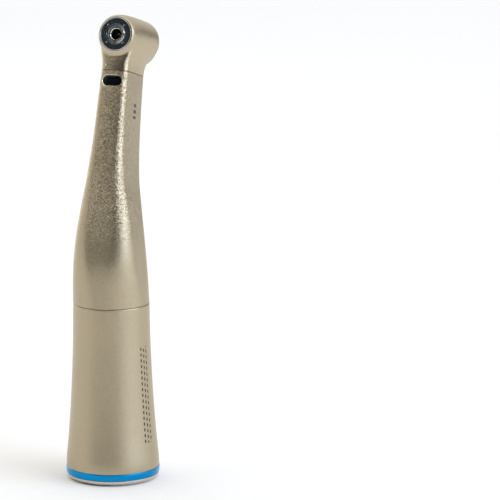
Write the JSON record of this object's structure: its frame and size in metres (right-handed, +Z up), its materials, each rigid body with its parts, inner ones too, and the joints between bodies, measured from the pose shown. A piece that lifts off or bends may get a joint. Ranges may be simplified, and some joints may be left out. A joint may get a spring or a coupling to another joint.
{
  "type": "contra angle handpiece",
  "caption": "Dental contra angle handpiece: bent tapered body with a push-button chuck head, internal gear train, light guide and a rear motor coupling.",
  "frame": {"origin": "centre of the rear end face, on the handle axis", "axes": "+Z up the handle towards the head, bur side towards -Y, neck leans towards +Y, X across"},
  "size_m": [0.0202, 0.0284, 0.0996],
  "materials": {
    "satin_shell": "satin blasted, warm grey",
    "blue_ring": "glossy",
    "chrome": "polished",
    "steel": "turned",
    "gear_carrier_metal": "turned",
    "hard_gear": "ground",
    "spring_wire": "drawn",
    "dark_cap": "dark polished coating",
    "seal_rubber": "matte",
    "fibre_glass": "clear",
    "window_glass": "polished",
    "tube_steel": "drawn",
    "bearing_ring": "ground",
    "bearing_ball": "polished",
    "cage_resin": "matte"
  },
  "bodies": {
    "handpiece": {"body_shell": "satin_shell", "rear_sleeve": "satin_shell", "colour_ring": "blue_ring", "end_ring": "chrome", "coupling_liner": "steel", "index_pin": "steel", "coupling_snap_ring": "steel", "gear_carrier": "gear_carrier_metal", "joint_collar": "steel", "sleeve_seal": "seal_rubber", "flange_screws": "steel", "neck_tube": "steel", "neck_seal": "seal_rubber", "head_housing": "satin_shell", "front_cap": "dark_cap", "bearing_retainer": "steel", "rear_cap": "satin_shell", "button_spring": "spring_wire", "light_guide": "fibre_glass", "light_window": "window_glass", "water_tube": "tube_steel", "air_tube": "tube_steel", "spray_nozzle": "tube_steel", "input_rear_bearing_outer_ring": "bearing_ring", "input_front_bearing_outer_ring": "bearing_ring", "neck_rear_bearing_outer_ring": "bearing_ring", "neck_front_bearing_outer_ring": "bearing_ring", "head_front_bearing_outer_ring": "bearing_ring", "head_rear_bearing_outer_ring": "bearing_ring"},
    "input_shaft": {"input_shaft": "steel", "input_gear": "hard_gear", "dog_spring": "spring_wire", "input_rear_bearing_inner_ring": "bearing_ring", "input_front_bearing_inner_ring": "bearing_ring"},
    "drive_dog": {"drive_dog": "steel", "dog_pin": "steel"},
    "neck_shaft": {"neck_shaft": "steel", "neck_gear": "hard_gear", "neck_pinion": "hard_gear", "neck_rear_bearing_inner_ring": "bearing_ring", "neck_front_bearing_inner_ring": "bearing_ring"},
    "chuck": {"chuck_spindle": "steel", "chuck_gear": "hard_gear", "collet_spring": "spring_wire", "head_front_bearing_inner_ring": "bearing_ring", "head_rear_bearing_inner_ring": "bearing_ring"},
    "collet": {"collet": "steel"},
    "push_button": {"push_button": "chrome"},
    "input_rear_bearing_cage": {"input_rear_bearing_cage": "cage_resin", "input_rear_bearing_balls": "bearing_ball"},
    "input_front_bearing_cage": {"input_front_bearing_cage": "cage_resin", "input_front_bearing_balls": "bearing_ball"},
    "neck_rear_bearing_cage": {"neck_rear_bearing_cage": "cage_resin", "neck_rear_bearing_balls": "bearing_ball"},
    "neck_front_bearing_cage": {"neck_front_bearing_cage": "cage_resin", "neck_front_bearing_balls": "bearing_ball"},
    "head_front_bearing_cage": {"head_front_bearing_cage": "cage_resin", "head_front_bearing_balls": "bearing_ball"},
    "head_rear_bearing_cage": {"head_rear_bearing_cage": "cage_resin", "head_rear_bearing_balls": "bearing_ball"}
  },
  "joints": [
    {"name": "input_spin", "type": "hinge", "parent": "handpiece", "child": "input_shaft", "pos_m": [0, 0, 0.0571], "axis": [0, 0, 1], "continuous": true},
    {"name": "neck_spin", "type": "hinge", "parent": "handpiece", "child": "neck_shaft", "pos_m": [0, 0, 0.0571], "axis": [0, 0.2588, 0.9659], "continuous": true},
    {"name": "chuck_spin", "type": "hinge", "parent": "handpiece", "child": "chuck", "pos_m": [0, 0.00989, 0.094], "axis": [0, -0.9659, 0.2588], "continuous": true},
    {"name": "input_rear_bearing_cage_spin", "type": "hinge", "parent": "handpiece", "child": "input_rear_bearing_cage", "pos_m": [0, 0, 0.03755], "axis": [0, 0, 1], "continuous": true},
    {"name": "input_front_bearing_cage_spin", "type": "hinge", "parent": "handpiece", "child": "input_front_bearing_cage", "pos_m": [0, 0, 0.05145], "axis": [0, 0, 1], "continuous": true},
    {"name": "neck_rear_bearing_cage_spin", "type": "hinge", "parent": "handpiece", "child": "neck_rear_bearing_cage", "pos_m": [0, 0.00153, 0.0628], "axis": [0, 0.2588, 0.9659], "continuous": true},
    {"name": "neck_front_bearing_cage_spin", "type": "hinge", "parent": "handpiece", "child": "neck_front_bearing_cage", "pos_m": [0, 0.00837, 0.08835], "axis": [0, 0.2588, 0.9659], "continuous": true},
    {"name": "head_front_bearing_cage_spin", "type": "hinge", "parent": "handpiece", "child": "head_front_bearing_cage", "pos_m": [0, 0.00564, 0.09514], "axis": [0, -0.9659, 0.2588], "continuous": true},
    {"name": "head_rear_bearing_cage_spin", "type": "hinge", "parent": "handpiece", "child": "head_rear_bearing_cage", "pos_m": [0, 0.01423, 0.09283], "axis": [0, -0.9659, 0.2588], "continuous": true},
    {"name": "dog_travel", "type": "slide", "parent": "input_shaft", "child": "drive_dog", "axis": [0, 0, 1], "range_m": [0, 0.0012], "stiffness_N_per_m": 800, "deforming": ["dog_spring"]},
    {"name": "button_press", "type": "slide", "parent": "handpiece", "child": "push_button", "axis": [0, -0.9659, 0.2588], "range_m": [0, 0.0008], "stiffness_N_per_m": 2500, "deforming": ["button_spring"]},
    {"name": "collet_release", "type": "slide", "parent": "chuck", "child": "collet", "axis": [0, -0.9659, 0.2588], "range_m": [0, 0.0006], "deforming": ["collet_spring"]}
  ],
  "couplings": [
    {"joint": "neck_spin", "follows": "input_spin", "ratio": 1},
    {"joint": "chuck_spin", "follows": "input_spin", "ratio": 1},
    {"joint": "input_rear_bearing_cage_spin", "follows": "input_spin", "ratio": 0.38},
    {"joint": "input_front_bearing_cage_spin", "follows": "input_spin", "ratio": 0.38},
    {"joint": "neck_rear_bearing_cage_spin", "follows": "input_spin", "ratio": 0.4067},
    {"joint": "neck_front_bearing_cage_spin", "follows": "input_spin", "ratio": 0.4067},
    {"joint": "head_front_bearing_cage_spin", "follows": "input_spin", "ratio": 0.4273},
    {"joint": "head_rear_bearing_cage_spin", "follows": "input_spin", "ratio": 0.4273},
    {"joint": "collet_release", "follows": "button_press", "ratio": 0.75}
  ]
}
